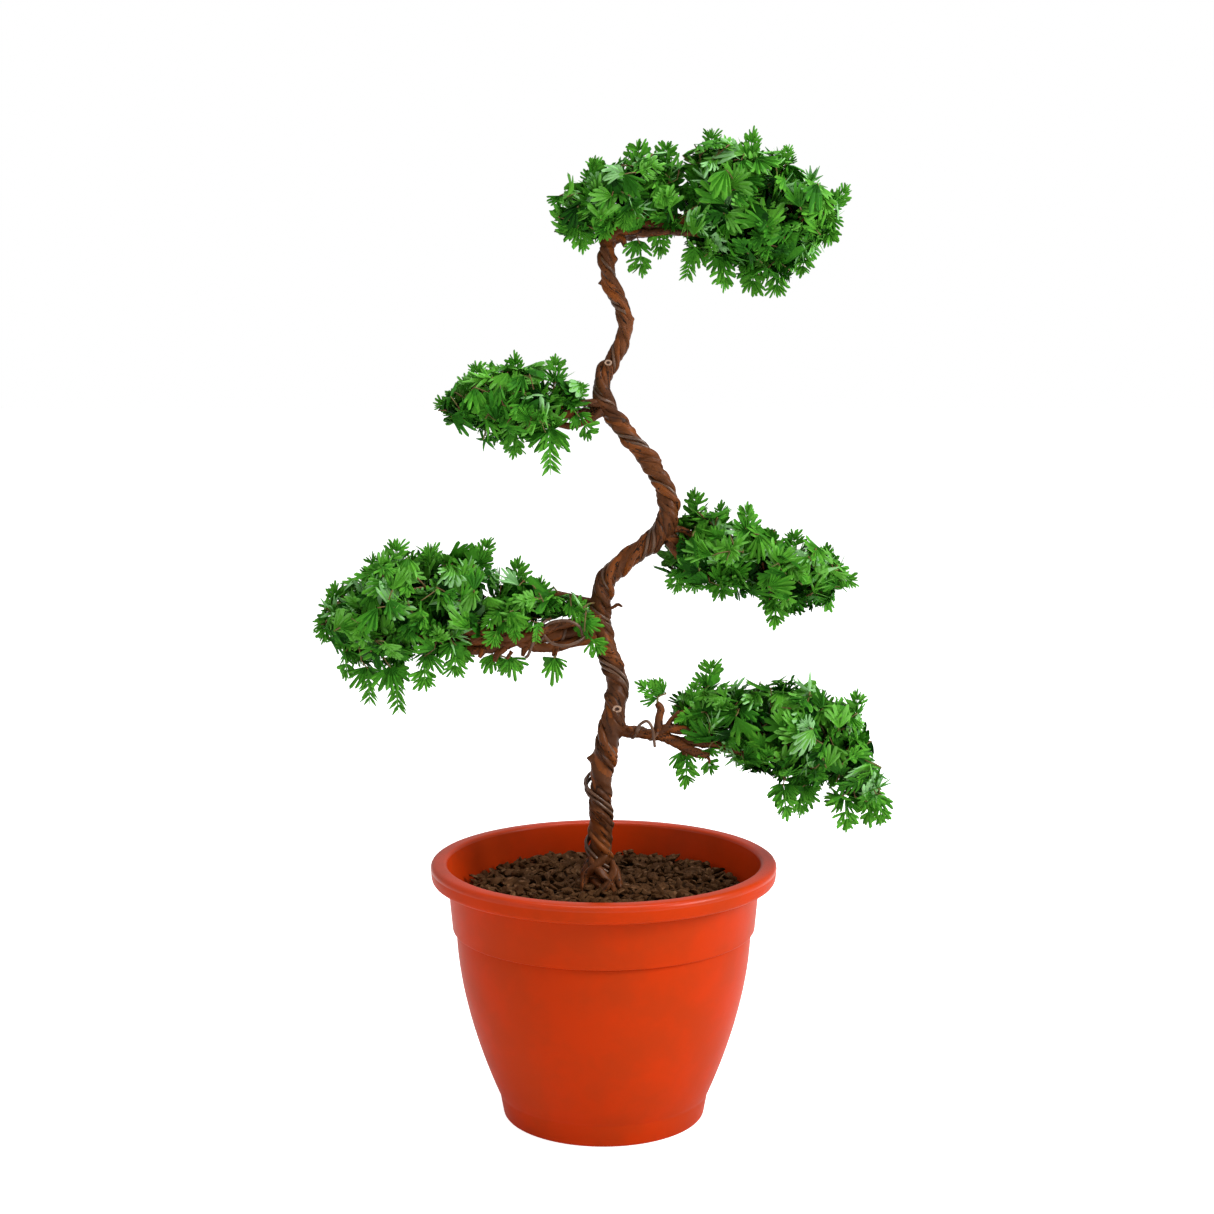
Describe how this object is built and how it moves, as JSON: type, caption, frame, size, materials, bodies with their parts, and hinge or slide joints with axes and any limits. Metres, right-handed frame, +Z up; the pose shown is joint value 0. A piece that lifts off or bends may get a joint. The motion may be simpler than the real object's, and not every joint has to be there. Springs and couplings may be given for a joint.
{
  "type": "juniper bonsai",
  "caption": "Wired juniper bonsai with an S-curved trunk, tiered boughs and pads of needle foliage, growing in a plain round plant pot filled with soil grit.",
  "frame": {"origin": "centre of the pot's flat underside", "axes": "+Z up, -Y towards the front that the picture shows, +X to the right in it"},
  "size_m": [0.335, 0.2, 0.5584],
  "materials": {
    "terracotta_plastic": "satin terracotta orange",
    "soil_grit": "rough dark brown granules",
    "bark": "fissured reddish brown bark",
    "training_wire": "copper-brown anodised",
    "needles": "matt fresh green needles"
  },
  "bodies": {
    "root": {"pot": "terracotta_plastic", "soil": "soil_grit", "trunk": "bark", "lower_right_bough": "bark", "left_bough": "bark", "middle_right_bough": "bark", "upper_left_bough": "bark", "apex_bough": "bark", "trunk_wire_lower_strand": "training_wire", "trunk_wire_upper_strand": "training_wire", "lower_right_bough_wire": "training_wire", "left_bough_wire": "training_wire", "middle_right_bough_wire": "training_wire", "upper_left_bough_wire": "training_wire", "top_left_foliage": "needles", "top_right_foliage": "needles", "upper_left_foliage": "needles", "middle_right_foliage": "needles", "left_outer_foliage": "needles", "left_inner_foliage": "needles", "lower_right_foliage": "needles"}
  },
  "joints": []
}
